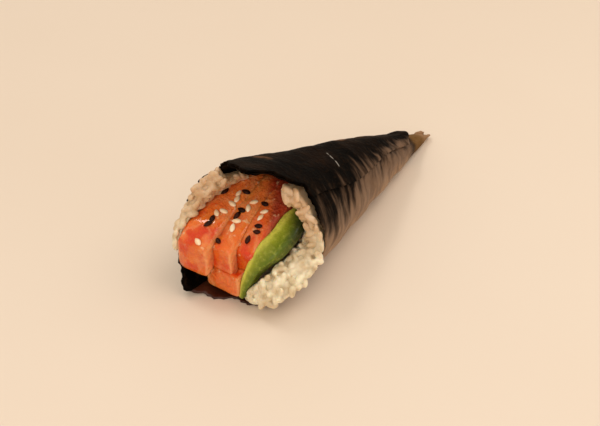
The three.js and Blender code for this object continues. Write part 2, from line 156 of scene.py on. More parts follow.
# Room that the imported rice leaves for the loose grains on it, and for the strips.
GRAIN_ROOM = 0.8
STRIP_ROOM = 0.5

# ---- The strips: the middle of the top from the mouth inwards, half width and thickness ----
# Lean is how far the front end stands forward for each millimetre down. A strip with a swell grows
# sideways and upwards by that until it meets those beside it. Joined is the side, 1 the top and
# -1 the bottom, on which it lies flat against another.
STRIPS = {
    "salmon_left": {
        "top": ((-145.4, 15.3, 22), (-138, 15.5, 26), (-129, 15.4, 28.3), (-119, 14, 31.4),
                (-108, 11.8, 33.4), (-95, 8.6, 29.5), (-80, 6.5, 23)),
        "half_width": ((0, 6.6), (0.4, 5.9), (1, 3.4)),
        "thickness": ((0, 12), (0.4, 10), (1, 6)),
        "lean": 0.5,
    },
    "salmon_middle": {
        "top": ((-141.2, 6.6, 20.6), (-131, 6.8, 25.2), (-120, 6.2, 29.8), (-108, 5, 33), (-96, 3.8, 31),
                (-82, 3, 26), (-66, 2.5, 19)),
        "half_width": ((0, 4), (0.5, 3.2), (1, 2.2)),
        "thickness": ((0, 11.5), (0.4, 9), (1, 6)),
        "lean": 0.45,
        "swell": (1.6, 0.9),
        "joined": -1,
    },
    "salmon_right": {
        "top": ((-137.2, -0.7, 20.6), (-130, -0.9, 25.6), (-121, -1.4, 30), (-112, -1.6, 33),
                (-101, -1.8, 33.5), (-88, -2, 28), (-76, -1.8, 23)),
        "half_width": ((0, 4.9), (0.3, 5.4), (0.6, 4.7), (1, 3.4)),
        "thickness": ((0, 12), (0.4, 9.5), (1, 6)),
        "lean": 0.6,
    },
    "salmon_under": {
        "top": ((-141.5, 5, 9.6), (-134, 4.9, 10.3), (-122, 4.4, 12.5), (-108, 3, 15.5)),
        "half_width": ((0, 7), (0.5, 6.2), (1, 4)),
        "thickness": ((0, 7.2), (1, 7)),
        "lean": 0,
        "swell": (0.3, 2.5),
        "joined": 1,
    },
    "avocado": {
        "top": ((-141.5, -3, 3.5), (-140.6, -4.4, 10), (-138.4, -6.6, 17), (-133.5, -9.5, 23.6),
                (-126, -11, 27.3), (-118, -10.6, 30), (-109, -9, 32)),
        "half_width": ((0, 0.8), (0.2, 2.5), (0.5, 4.5), (0.75, 4.3), (1, 1)),
        "thickness": ((0, 4), (0.3, 5.5), (1, 4)),
        "lean": 0,
    },
}
SALMON_ORDER = ("salmon_left", "salmon_right", "salmon_middle", "salmon_under")
# 0 for a box across the strip and 1 for an ellipse.
SQUARENESS = 0.34
LEAN_REACH = 0.3
BLUNT_END = 0.92
STRIP_STATIONS = 110
STRIP_CORNERS = 48
STRIP_GAP = 0.06
# How far the surface swings in and out, and over what length.
UNEVENNESS = 0.45
UNEVEN_SIZE = 7.0

# ---- Sesame: patches as share of length, share of width, spread, count and how many are black ----
SEED_LENGTH = 3.2
SEED_WIDTH = 1.9
SEED_HEIGHT = 1.1
SEED_UNEVENNESS = 0.12
SEED_SIZES_SEED = 3
# A seed moves on by the nudge, a share of the strip's length, until it lies free and upright.
SEED_APART = 2.2
SEED_NUDGE = 0.012
SEED_UPRIGHT = 0.6
# How high its middle lies as a share of its height, and how far it strays across the strip.
SEED_LIFT = 0.3
SEED_DRIFT = 0.6
SEED_REACH = 0.62
SEED_PROFILE = (
    (-0.5, 0.08), (-0.42, 0.27), (-0.22, 0.46), (0.02, 0.5), (0.26, 0.38), (0.42, 0.2), (0.5, 0.06),
)
SEED_PATCHES = {
    "salmon_left": (
        (0.03, -0.2, 0.01, 1, 0), (0.15, -0.4, 0.02, 4, 2), (0.29, -0.5, 0.05, 3, 0),
        (0.36, -0.5, 0.01, 1, 1), (0.36, 0.6, 0.02, 2, 1), (0.53, 0.1, 0.01, 1, 1),
    ),
    "salmon_middle": (
        (0.05, 0.6, 0.02, 2, 2), (0.1, -0.2, 0.02, 2, 0), (0.15, 0.4, 0.02, 3, 3), (0.22, 0, 0.02, 2, 0),
    ),
    "salmon_right": (
        (0.08, 0.1, 0.01, 1, 1), (0.14, -0.2, 0.01, 2, 2), (0.22, 0.3, 0.02, 2, 0),
        (0.3, 0.5, 0.01, 1, 1),
    ),
}

# ---- Camera and light ----
CAMERA_PLACE = Vector((-419.41, -229.61, 313.09))
CAMERA_AZIMUTH = math.radians(-54.2)
CAMERA_ELEVATION = math.radians(37.2)
CAMERA_LENS = 80
SENSOR_WIDTH = 36
LIGHTS = {   # direction, power and size in metres
    "key": ((0.34, -0.42, 0.84), 3.3, 0.8),
    "fill": ((-0.72, -0.22, 0.55), 2.3, 0.8),
    "glint": ((0.1, 0.47, 0.86), 1.3, 0.22),
}
LIGHT_DISTANCE = 0.9
LIGHT_COLOUR = (1.0, 0.965, 0.92)
SKY_STRENGTH = 0.6
SKY_COLOUR = (1.0, 0.9, 0.78)
FLOOR_SIZE = 6.0


# ---- Numbers ----

def draws(seed):
    """Numbers from 0 to 1 that are the same each time, and the same as those of the solids."""
    state = seed
    while True:
        state = (state * 1664525 + 1013904223) & 0xFFFFFFFF
        yield state / 4294967296


def lerp(start, end, share):
    return start + (end - start) * share


def smooth(value, low, high):
    share = min(1, max(0, (value - low) / (high - low)))
    return share * share * (3 - 2 * share)


def interpolate(pairs, position):
    """The value at a position between pairs of position and value, with smooth passages."""
    place = min(pairs[-1][0], max(pairs[0][0], position))
    right = 1
    while right < len(pairs) - 1 and pairs[right][0] < place:
        right += 1
    (start, first), (end, second) = pairs[right - 1], pairs[right]
    return lerp(first, second, smooth(place, start, end))


def screen_colour(red, green, blue):
    """A colour that is given as it looks on a screen, from 0 to 255, for a shader."""
    parts = [value / 255 for value in (red, green, blue)]
    return [part / 12.92 if part < 0.04045 else ((part + 0.055) / 1.055) ** 2.4 for part in parts] + [1]


# ---- Places on the cone ----

AXIS = Vector((-math.cos(HALF_ANGLE), 0, SLOPE))
SIDEWAYS = Vector((0, 1, 0))
UPWARD = Vector((SLOPE, 0, math.cos(HALF_ANGLE)))


def point_on_cone(slant, angle, radius, floor):
    turn = math.radians(angle)
    point = AXIS * (slant * math.cos(HALF_ANGLE))
    point += SIDEWAYS * (radius * math.cos(turn)) + UPWARD * (radius * math.sin(turn))
    settle = SETTLE + UNDER_SETTLE * max(0, -math.sin(turn)) ** 2
    rise = interpolate(TOP_PROFILE, slant) * on_top(slant, turn, radius)
    point.z = max(point.z + rise - settle * slant * SLOPE, floor)
    return point


def on_top(slant, turn, radius):
    """1 along the roll's top, and 0 from its sides down and at its axis."""
    return max(0, math.sin(turn)) * min(1, radius / (0.7 * slant * SLOPE))


def cone_coordinates(point):
    """Slant, angle and distance from the axis."""
    along = point.dot(AXIS)
    angle = math.degrees(math.atan2(point.dot(UPWARD), point.dot(SIDEWAYS))) % 360
    return along / math.cos(HALF_ANGLE), angle, (point - AXIS * along).length


def mouth_slant(angle):
    """Where the sheet ends at the mouth."""
    teeth = MOUTH_TEETH * math.sin(math.radians(angle * MOUTH_TEETH_ROUND))
    ragged = teeth + MOUTH_CHIPS * math.sin(angle)
    return interpolate(MOUTH_OUTLINE, angle % 360) + ragged


def sheet_back(angle):
    """Where the sheet ends towards the tip."""
    flap = smooth(angle, FLAP_START, FLAP_START + FLAP_TIP_SPREAD)
    slanted_end = END_SLANT * smooth(angle, SHEET_END - FLAP_TIP_SPREAD, SHEET_END)
    return lerp(TIP_SLANT, FLAP_TIP_SLANT, flap) + slanted_end + TIP_WAVE * math.sin(angle * 0.11)


def flap_rise(slant, angle):
    """How far the end of the outer layer stands up off the layer under it."""
    flap = smooth(angle, FLAP_START, FLAP_START + FLAP_TIP_SPREAD)
    near_end = 1 - smooth(slant, sheet_back(angle), sheet_back(angle) + FLAP_LIFT_LENGTH)
    return FLAP_LIFT * flap * near_end * max(0, math.sin(math.radians(angle)))


# ---- Meshes and objects ----

def to_frame(point):
    return (Vector(point) + APEX) * MM


def new_object(name, mesh):
    piece = bpy.data.objects.new(name, mesh)
    bpy.context.scene.collection.objects.link(piece)
    return piece


def plain_mesh(name, points, faces):
    mesh = bpy.data.meshes.new(name)
    mesh.from_pydata(points, [], faces)
    mesh.update()
    return mesh


def make_mesh(name, points, faces):
    """A mesh of points that are in millimetres from the apex."""
    return plain_mesh(name, [to_frame(point) for point in points], faces)


def band(first, second):
    """Faces between two rings of points."""
    after = (*range(1, len(first)), 0)
    return [(first[here], first[there], second[there], second[here]) for here, there in enumerate(after)]


def grid(rows, columns):
    """Faces between rows of points that lie one after another."""
    corners = [row * columns + column for row in range(rows - 1) for column in range(columns - 1)]
    return [(first, first + columns, first + columns + 1, first + 1) for first in corners]


def store(mesh, name, kind, values, domain="POINT"):
    """Keeps a value for each point or face of a mesh under a name."""
    layer = mesh.attributes.new(name, kind, domain)
    key = "vector" if kind == "FLOAT_VECTOR" else "value"
    layer.data.foreach_set(key, np.array(values, np.float32).ravel())


def settle(piece):
    """The piece with its modifiers worked into a plain mesh."""
    bpy.context.view_layer.update()
    graph = bpy.context.evaluated_depsgraph_get()
    mesh = bpy.data.meshes.new_from_object(piece.evaluated_get(graph))
    piece.modifiers.clear()
    old = piece.data
    piece.data = mesh
    bpy.data.meshes.remove(old)
    mesh.name = piece.name
    return piece


def shade_smooth(piece):
    piece.data.polygons.foreach_set("use_smooth", [True] * len(piece.data.polygons))
    piece.data.update()


def point_outwards(mesh):
    """Turns a closed mesh's faces so that they look out of it."""
    volume = 0
    for face in mesh.polygons:
        corners = [mesh.vertices[index].co for index in face.vertices]
        for second, third in zip(corners[1:-1], corners[2:]):
            volume += corners[0].dot(second.cross(third))
    if volume < 0:
        mesh.flip_normals()


def discard(*pieces):
    for piece in pieces:
        bpy.data.objects.remove(piece)


# ---- Node trees ----

class Wire:
    """A number on its way through a node tree, with ordinary arithmetic."""

    def __init__(self, tree, socket):
        self.tree = tree
        self.socket = socket

    def math(self, operation, *others):
        node = self.tree.nodes.new("ShaderNodeMath")
        node.operation = operation
        for socket, value in zip(node.inputs, (self, *others)):
            feed(self.tree, socket, value)
        return Wire(self.tree, node.outputs[0])

    def __add__(self, other):
        return self.math("ADD", other)

    def __sub__(self, other):
        return self.math("SUBTRACT", other)

    def __mul__(self, other):
        return self.math("MULTIPLY", other)

    def __truediv__(self, other):
        return self.math("DIVIDE", other)

    def sine(self):
        return self.math("SINE")

    def cosine(self):
        return self.math("COSINE")

    def size(self):
        return self.math("ABSOLUTE")

    def between(self, low, high):
        """0 up to low, 1 from high on, and smooth between them."""
        limits = {0: self, 1: low, 2: high}
        node = add(self.tree, "ShaderNodeMapRange", limits, interpolation_type="SMOOTHSTEP")
        return Wire(self.tree, node.outputs[0])


def feed(tree, socket, value):
    """Links an output to a socket, or sets it to a plain value."""
    if isinstance(value, Wire):
        value = value.socket
    if isinstance(value, bpy.types.NodeSocket):
        tree.links.new(value, socket)
    else:
        socket.default_value = value


def add(tree, kind, inputs=None, **settings):
    """A new node with its inputs fed, each by its name or number."""
    node = tree.nodes.new(kind)
    for name, value in settings.items():
        setattr(node, name, value)
    for key, value in (inputs or {}).items():
        feed(tree, node.inputs[key], value)
    return node


SOCKET_KINDS = {
    type(None): "Geometry", float: "Float", int: "Int", Vector: "Vector", bpy.types.Object: "Object",
    bpy.types.Material: "Material",
}


def new_tree(name, kind, inputs, outputs):
    """A node group with an input of the right kind for each named value."""
    tree = bpy.data.node_groups.new(name, kind)
    for label, value in inputs.items():
        socket_type = "NodeSocket" + SOCKET_KINDS[type(value)]
        socket = tree.interface.new_socket(name=label, in_out="INPUT", socket_type=socket_type)
        if isinstance(value, (float, int, Vector)):
            socket.default_value = value
    for label, socket_kind in outputs.items():
        tree.interface.new_socket(name=label, in_out="OUTPUT", socket_type="NodeSocket" + socket_kind)
    return tree, tree.nodes.new("NodeGroupInput"), tree.nodes.new("NodeGroupOutput")


def stored(tree, name, kind="FLOAT"):
    """What was kept on the mesh under a name, inside a geometry tree."""
    node = add(tree, "GeometryNodeInputNamedAttribute", {"Name": name}, data_type=kind)
    return node.outputs["Attribute"]


def random_between(tree, low, high, seed, kind="FLOAT_VECTOR"):
    node = add(tree, "FunctionNodeRandomValue", {"Seed": seed}, data_type=kind)
    lowest, result = (0, 0) if kind == "FLOAT_VECTOR" else (2, 1)
    feed(tree, node.inputs[lowest], low)
    feed(tree, node.inputs[lowest + 1], high)
    return node.outputs[result]


def turned(tree, facing, heading):
    """A turn that points Z along facing, and then X as near to heading as it goes."""
    upright = add(tree, "FunctionNodeAlignRotationToVector", {"Vector": facing}, axis="Z")
    both = {"Rotation": upright.outputs[0], "Vector": heading}
    return add(tree, "FunctionNodeAlignRotationToVector", both, axis="X", pivot_axis="Z").outputs[0]


def copies(tree, points, shape, turn, size):
    """A copy of an object's mesh at each point."""
    original = add(tree, "GeometryNodeObjectInfo", {"Object": shape}).outputs["Geometry"]
    placed = {"Points": points, "Instance": original, "Rotation": turn, "Scale": size}
    return add(tree, "GeometryNodeInstanceOnPoints", placed).outputs[0]


def run_tree(piece, fill, values, material):
    """Runs a geometry tree on a piece with its named inputs set, and keeps the plain mesh.

    fill lays the tree's own nodes from its inputs. They end in real points with their material.
    """
    inputs = {"Geometry": None, **values, "Material": material}
    tree, given, result = new_tree(fill.__name__, "GeometryNodeTree", inputs, {"Geometry": "Geometry"})
    real = add(tree, "GeometryNodeRealizeInstances", {0: fill(tree, given.outputs)})
    painted = {"Geometry": real.outputs[0], "Material": given.outputs["Material"]}
    feed(tree, result.inputs[0], add(tree, "GeometryNodeSetMaterial", painted).outputs[0])
    modifier = piece.modifiers.new(tree.name, "NODES")
    modifier.node_group = tree
    for item in tree.interface.items_tree:
        if item.in_out == "INPUT" and item.name != "Geometry":
            modifier[item.identifier] = inputs[item.name]
    return settle(piece)


# ---- Shader groups that several materials use ----

def mottle_group():
    """Soft blotches of a size in millimetres, with finer ones in them, as a mask and a height."""
    inputs = {"Place": Vector(), "Size": 5.0, "Low": 0.35, "High": 0.65}
    outputs = {"Mask": "Float", "Height": "Float"}
    tree, given, result = new_tree("mottle", "ShaderNodeTree", inputs, outputs)
    per_metre = add(tree, "ShaderNodeMath", {0: 1000.0, 1: given.outputs["Size"]}, operation="DIVIDE")
    cloud = add(tree, "ShaderNodeTexNoise",
                {"Vector": given.outputs["Place"], "Scale": per_metre.outputs[0], "Detail": 4.0,
                 "Roughness": 0.55})
    height = Wire(tree, cloud.outputs["Fac"])
    feed(tree, result.inputs["Mask"], height.between(given.outputs["Low"], given.outputs["High"]))
    feed(tree, result.inputs["Height"], height)
    return tree


class Material:
    """A material in the making: its tree, its Principled shader and where things are."""

    def __init__(self, name, mottle):
        self.material = bpy.data.materials.new(name)
        self.material.use_nodes = True
        self.tree = self.material.node_tree
        self.shader = self.tree.nodes["Principled BSDF"]
        self.place = self.tree.nodes.new("ShaderNodeTexCoord").outputs["Object"]
        self.mottle = mottle
        self.colour = None

    def set(self, **values):
        for name, value in values.items():
            feed(self.tree, self.shader.inputs[name.replace("_", " ")], value)

    def blotches(self, size, low=0.3, high=0.7, place=None):
        node = self.tree.nodes.new("ShaderNodeGroup")
        node.node_tree = self.mottle
        inputs = {"Place": self.place if place is None else place, "Size": size, "Low": low, "High": high}
        for label, value in inputs.items():
            feed(self.tree, node.inputs[label], value)
        return Wire(self.tree, node.outputs["Mask"]), Wire(self.tree, node.outputs["Height"])

    def kept(self, name):
        """What was kept on the mesh under a name."""
        return Wire(self.tree, add(self.tree, "ShaderNodeAttribute", attribute_name=name).outputs["Fac"])

    def kept_axes(self, name):
        kept = add(self.tree, "ShaderNodeAttribute", attribute_name=name).outputs["Vector"]
        parts = add(self.tree, "ShaderNodeSeparateXYZ", {0: kept})
        return [Wire(self.tree, output) for output in parts.outputs]

    def mix(self, share, first, second):
        """A colour between two, which are sockets or as they look on a screen, from 0 to 255."""
        node = add(self.tree, "ShaderNodeMix", data_type="RGBA")
        feed(self.tree, node.inputs["Factor"], share)
        for socket, value in zip([one for one in node.inputs if one.type == "RGBA"], (first, second)):
            feed(self.tree, socket, screen_colour(*value) if isinstance(value, tuple) else value)
        return next(one for one in node.outputs if one.type == "RGBA")

    def paint(self, share, colour):
        """Lays a colour over what is painted so far."""
        self.colour = self.mix(share, self.colour, colour)

    def scatter(self, weight, scale, red, green, blue):
        self.set(Subsurface_Weight=weight, Subsurface_Scale=scale * MM)
        self.set(Subsurface_Radius=(red, green, blue))

    def bump(self, height, distance):
        node = add(self.tree, "ShaderNodeBump", {"Height": height, "Distance": distance * MM})
        self.set(Normal=node.outputs["Normal"])


# ---- Materials ----

def make_nori_material(mottle):
    made = Material("nori", mottle)
    slant = made.kept("slant")
    angle = made.kept("angle")
    around = angle - angle.between(FLAP_START, FLAP_START + 0.1) * 360
    broad, broad_height = made.blotches(11.0, 0.42, 0.7)
    fleck, fleck_height = made.blotches(1.7, 0.5, 0.72)
    round_marks = around_the_roll(made, slant, around, 1.2)
    streak, streak_height = made.blotches(4.5, 0.42, 0.62, place=round_marks)
    made.colour = made.mix(broad, (4, 2, 1), (24, 13, 6))
    made.paint(fleck * 0.35, (46, 30, 17))
    # pale is a painted reflection of the floor on the -Y side: light brown, lighter further round, with
    # darker streaks.
    pale = side_mask(made, slant, around, streak_height)
    sheen_colour = made.mix(around.between(150.0, 215.0), (112, 84, 62), (176, 140, 108))
    sheen_colour = made.mix(streak * 0.55, sheen_colour, (84, 60, 42))
    made.paint(pale * (fleck_height * 0.4 + 0.75), sheen_colour)
    lip = around.between(232.0, 250.0) * around.between(345.0, 325.0) * slant.between(132.0, 143.0)
    made.paint(lip * (fleck_height * 0.6 + 0.4), (74, 34, 18))
    # Pale brown spots on the roll's top: painted highlights, and the last spot a reddish-brown tint.
    highlight_and_tint = worn_mask(slant, around) * broad_height.between(0.35, 0.6)
    made.paint(highlight_and_tint * 0.7, (116, 80, 56))
    thin = slant.between(TIP_THIN + 1, TIP_THIN - 4) * angle.between(FLAP_START + 14, FLAP_START)
    tip = made.mix(slant.between(22.0, 13.0), (112, 80, 44), (160, 124, 92))
    made.paint(thin, made.mix(fleck * 0.4, tip, (80, 54, 28)))
    # A painted highlight where a crease over the top of the roll catches the light.
    made.paint(crease_mask(slant, around) * fleck_height.between(0.42, 0.5), (150, 144, 134))
    made.set(Base_Color=made.colour, Roughness=fleck_height * 0.3 + 0.45, Specular_IOR_Level=0.02)
    shiny = around.between(225.0, 250.0) * slant.between(120.0, 132.0)
    made.set(Coat_Weight=(pale * 0.3).math("MAXIMUM", shiny * 0.6), Coat_Roughness=0.3)
    made.bump(fleck_height * 0.5 + broad_height * 0.5 + streak_height * pale * 1.2, 0.7)
    return made.material


def around_the_roll(made, slant, around, fineness):
    """Coordinates for marks that are long round the roll and short along it."""
    place = {0: slant * (fineness * MM), 1: around * (0.09 * MM)}
    return add(made.tree, "ShaderNodeCombineXYZ", place).outputs[0]


def side_mask(made, slant, around, streak_height):
    """The -Y side below a ragged line, with a painted reflection of the pale floor, where the coat is also
    shinier.
    """
    _, wide = made.blotches(9.0, place=around_the_roll(made, slant, around, 0.8))
    line = slant * 0.33 + 119.0 + (streak_height - 0.5) * 100.0 + (wide - 0.5) * 70.0
    return (around - line).between(-22.0, 22.0) * slant.between(28.0, 38.0) * around.between(258.0, 236.0)


def worn_mask(slant, around):
    """Round spots of painted highlight and tint."""
    total = None
    for place, turn, length, width in HIGHLIGHT_AND_TINT_SPOTS:
        far = ((slant - place) / length).math("POWER", 2.0) + ((around - turn) / width).math("POWER", 2.0)
        spot = far.math("SQRT").between(1.3, 0.5)
        total = spot if total is None else total + spot
    return total


def crease_mask(slant, around):
    """A short painted highlight along a crease over the top of the roll."""
    start, first, end, last = CREASE
    line = (around - start) * ((last - first) / (end - start)) + first
    inside = around.between(start, start + 2) * around.between(end, end - 2)
    return (slant - line).size().between(0.45, 0.15) * inside


def make_rice_material(mottle, name, shade):
    made = Material(name, mottle)
    cloud, _ = made.blotches(4.5)
    made.colour = made.mix(cloud, (206, 180, 138), (246, 234, 202))
    # Peach higher up: painted warm light thrown back from the salmon.
    height = add(made.tree, "ShaderNodeSeparateXYZ", {0: made.place}).outputs["Z"]
    painted_warm_bounce = Wire(made.tree, height).between(14 * MM, 38 * MM)
    made.paint(painted_warm_bounce * 0.65, (202, 150, 102))
    crumb, _ = made.blotches(3.0, 0.72, 0.74)
    made.paint(crumb * 0.85, (48, 34, 20))
    _, fine = made.blotches(1.2)
    made.set(Base_Color=made.mix(shade, made.colour, (190, 140, 90)), Roughness=0.42, Coat_Weight=0.25)
    made.set(Coat_Roughness=0.2)
    made.scatter(0.6, 1.1, 1.0, 0.74, 0.5)
    made.bump(fine, 0.2)
    return made.material


def make_salmon_material(mottle):
    made = Material("salmon", mottle)
    along, across, deep = made.kept_axes("strip_place")
    _, side, top = made.kept_axes("strip_share")
    axes = add(made.tree, "ShaderNodeSeparateXYZ", {0: made.place})
    sideways, height = (Wire(made.tree, axes.outputs[axis]) for axis in "YZ")
    cloud, sway = made.blotches(9.0, 0.38, 0.62)
    made.colour = made.mix(cloud, (220, 64, 14), (236, 114, 32))
    # Lighter orange deeper in, painted light that offsets the nori's shade, and lighter low down.
    pale = along.between(7.0, 22.0).math("MAXIMUM", height.between(13 * MM, 8 * MM) * 0.8)
    made.paint(pale * 0.75, (255, 134, 60))
    pink, _ = made.blotches(5.0, 0.52, 0.72)
    made.paint(pink * 0.45, (242, 144, 84))
    line = (along + across.size() * 1.1 + deep * 0.6) / 13.0 + sway * 1.6
    fat = (line.math("FRACT") - 0.5).size().between(0.2, 0.0) * 0.3
    # Pale shoulders along the strips' sides: painted highlights, which also paint out the shade in the
    # grooves between strips.
    edge = side.size().between(0.84, 1.0) * along.between(34.0, 22.0) * 0.65
    made.paint(fat.math("MAXIMUM", edge), (250, 172, 112))
    # Deep red further in and towards -Y: painted shade under the nori's edge.
    red = (along - sideways * (1.8 / MM) + sway * 8.0).between(22.0, 32.0)
    made.paint(red * 0.8, (146, 10, 20))
    # Pale pink spots on the strips' tops: painted glints.
    painted_glint, speck_height = made.blotches(2.2, 0.6, 0.7)
    painted_glint = painted_glint * top.between(0.5, 0.8) * along.between(46.0, 34.0)
    made.set(Base_Color=made.mix(painted_glint * 0.6, made.colour, (255, 206, 160)))
    made.set(Roughness=0.3, Specular_IOR_Level=0.1, Coat_Weight=0.7, Coat_Roughness=0.07)
    made.scatter(0.4, 2.2, 1.0, 0.34, 0.14)
    made.bump(speck_height, 1.5)
    return made.material


def make_avocado_material(mottle):
    made = Material("avocado", mottle)
    along, across, _ = made.kept_axes("strip_share")
    _, cloud = made.blotches(5.0)
    streak, streak_height = made.blotches(0.9, 0.4, 0.7)
    fine, fine_height = made.blotches(1.6, 0.45, 0.7)
    side = across + (cloud - 0.5) * 0.9 + (streak_height - 0.5) * 0.5
    made.colour = made.mix(side.between(-0.9, 0.4), (98, 114, 20), (152, 156, 40))
    made.paint(fine * 0.5, (178, 180, 74))
    stripe = side.between(0.1, 0.6) * side.between(1.15, 0.85)
    made.paint(stripe * 0.9, (214, 206, 84))
    made.paint(side.between(0.9, 1.2) * 0.7, (112, 112, 36))
    made.paint(streak * 0.25, (60, 72, 18))
    # Near black-green towards the top end: painted shade under the nori's edge.
    top = (along + side * -0.18 + (cloud - 0.5) * 0.3).between(0.6, 0.92)
    made.set(Base_Color=made.mix(top * 0.95, made.colour, (26, 38, 16)), Roughness=0.38)
    made.set(Specular_IOR_Level=0.1, Coat_Weight=0.35, Coat_Roughness=0.14)
    made.scatter(0.2, 1.2, 0.6, 1.0, 0.2)
    made.bump(fine_height, 0.6)
    return made.material


def make_seed_material(mottle, name, first, second, shine):
    made = Material(name, mottle)
    cloud, height = made.blotches(1.8)
    made.set(Base_Color=made.mix(cloud, first, second), Roughness=0.5, Coat_Weight=shine)
    made.set(Specular_IOR_Level=shine * 0.8, Coat_Roughness=0.1)
    made.bump(height, 0.12)
    return made.material


# ---- The nori ----

def flat_sheet():
    """The sheet as it is cut: a fan, with each point's slant and the angle it is rolled to."""
    columns = range(SHEET_START, SHEET_END + 1, SHEET_STEP)
    points, slants, angles = [], [], []
    for row in range(SHEET_ROWS):
        for angle in columns:
            slant = lerp(sheet_back(angle), mouth_slant(angle), row / (SHEET_ROWS - 1))
            turn = math.radians(angle) * SLOPE
            points.append((slant * math.cos(turn), slant * math.sin(turn), 0))
            slants.append(slant)
            angles.append(angle)
    mesh = make_mesh("nori_sheet", points, grid(SHEET_ROWS, len(columns)))
    store(mesh, "slant", "FLOAT", slants)
    store(mesh, "angle", "FLOAT", angles)
    store(mesh, "rise", "FLOAT", [interpolate(TOP_PROFILE, slant) for slant in slants])
    store(mesh, "lift", "FLOAT", [flap_rise(*place) for place in zip(slants, angles)])
    return mesh


def wrinkles(tree, slant, angle, height):
    """How far the sheet stands off a smooth cone."""
    turn = angle * math.radians(1)
    long = (turn * 7.0 + slant * 0.05).sine() + (turn * 11.0 - slant * 0.08).sine() * 0.7
    cross = (slant * 0.3 + turn * 4.0).sine() * (turn - 1.9).sine().math("MAXIMUM", 0.0)
    growing = (slant / 70.0).math("MINIMUM", 1.0)
    place = add(tree, "ShaderNodeCombineXYZ", {"X": slant * 0.16, "Y": angle * 0.035})
    crumple = add(tree, "ShaderNodeTexNoise", {"Vector": place.outputs[0], "Scale": 1.0, "Detail": 3.0})
    uneven = Wire(tree, crumple.outputs["Fac"]) - 0.5
    return growing * ((long * 0.55 + cross * 0.9) * height + uneven * 0.9)


def roll_nori(tree, given):
    """Rolls the flat fan into the cone."""
    half_angle, thickness, gap, start, end, settle_share, under_share, height = (
        Wire(tree, given[index]) for index in range(1, 9))
    slant = Wire(tree, stored(tree, "slant"))
    angle = Wire(tree, stored(tree, "angle"))
    slope, lean = half_angle.sine(), half_angle.cosine()
    free = angle.between(end - FREE_EDGE, end)
    turn = (angle + free * (slant * 0.09).sine() * FREE_EDGE_WAVE) * math.radians(1)
    layer = (gap + thickness) * ((angle - start) / 360.0 - 1.0)
    lift = Wire(tree, stored(tree, "lift")) + free * FREE_EDGE_LIFT
    radius = slant * slope + layer + wrinkles(tree, slant, angle, height) + lift
    outward = radius * turn.sine()
    under = (turn.sine() * -1.0).math("MAXIMUM", 0.0).math("POWER", 2.0)
    sink = (settle_share + under_share * under) * slant * slope
    on_top = turn.sine().math("MAXIMUM", 0.0) * (radius / (slant * slope * 0.7)).math("MINIMUM", 1.0)
    rise = Wire(tree, stored(tree, "rise")) * on_top
    x = outward * slope - slant * lean * lean
    z = slant * lean * slope + outward * lean + rise - sink
    place = {"X": x, "Y": radius * turn.cosine(), "Z": z.math("MAXIMUM", 0.0)}
    rolled = add(tree, "ShaderNodeCombineXYZ", place).outputs[0]
    moved = add(tree, "ShaderNodeVectorMath", {0: rolled, 1: given["Apex"]}, operation="ADD").outputs[0]
    sized = add(tree, "ShaderNodeVectorMath", {0: moved, "Scale": MM}, operation="SCALE").outputs[0]
    laid = {"Geometry": given["Geometry"], "Position": sized}
    return add(tree, "GeometryNodeSetPosition", laid).outputs[0]


def make_nori(material):
    sheet = new_object("nori_leaf", flat_sheet())
    run_tree(sheet, roll_nori, {
        "Half angle": HALF_ANGLE, "Thickness": SHEET_THICKNESS, "Layer gap": LAYER_GAP,
        "Start": float(SHEET_START), "End": float(SHEET_END), "Settle": SETTLE,
        "Under settle": UNDER_SETTLE, "Wrinkle height": RIPPLE_HEIGHT, "Apex": APEX,
    }, material)
    wall = sheet.modifiers.new("wall", "SOLIDIFY")
    wall.thickness = SHEET_THICKNESS * MM
    wall.offset = -1
    settle(sheet)
    shade_smooth(sheet)
    return sheet


# ---- The strips ----

def strip_route(name, count=400):
    """Evenly spaced points along the middle of a strip's top, their directions and its length."""
    knots = [Vector(point) for point in STRIPS[name]["top"]]
    knots = [knots[0] * 2 - knots[1], *knots, knots[-1] * 2 - knots[-2]]
    points = []
    for index in range(1, len(knots) - 2):
        points += curve_piece(*knots[index - 1:index + 3])
    points = np.array([*points, knots[-2]])
    reach = np.concatenate([[0], np.cumsum(np.linalg.norm(np.diff(points, axis=0), axis=1))])
    even = np.linspace(0, reach[-1], count)
    route = np.stack([np.interp(even, reach, points[:, axis]) for axis in range(3)], axis=1)
    return route, np.gradient(route, axis=0), reach[-1]


def curve_piece(before, start, end, after, steps=40):
    """Centripetal Catmull-Rom curve from start to end."""
    spans = ((before, start), (start, end), (end, after))
    first, middle, last = (math.sqrt((far - near).length) for near, far in spans)
    leave = ((start - before) / first - (end - before) / (first + middle) + (end - start) / middle) * middle
    arrive = ((end - start) / middle - (after - start) / (middle + last) + (after - end) / last) * middle
    square = end * 3 - start * 3 - leave * 2 - arrive
    cube = start * 2 - end * 2 + leave + arrive
    times = [step / steps for step in range(steps)]
    return [start + leave * time + square * time ** 2 + cube * time ** 3 for time in times]


def strip_frame(route, share):
    """Where a strip's top is at a share of its length, with the directions along, across and out."""
    points, slopes, _ = route
    index = share * (len(points) - 1)
    low = min(int(index), len(points) - 2)
    place = Vector(lerp(points[low], points[low + 1], index - low))
    along = Vector(lerp(slopes[low], slopes[low + 1], index - low)).normalized()
    across = (SIDEWAYS - along * along.y).normalized()
    return place, along, across, along.cross(across)


def station_shares(count):
    """Shares of a strip's length, closer together near its ends."""
    even = np.linspace(0, 1, count)
    return 0.5 * even + 0.25 * (1 - np.cos(math.pi * even))


def round_end(share, length, radius=0.9):
    """Size of a cross-section near a strip's ends against the middle's."""
    inside = min(share, 1 - share) * length
    if inside >= radius:
        return 1
    return lerp(BLUNT_END, 1, math.sqrt(1 - (1 - inside / radius) ** 2))


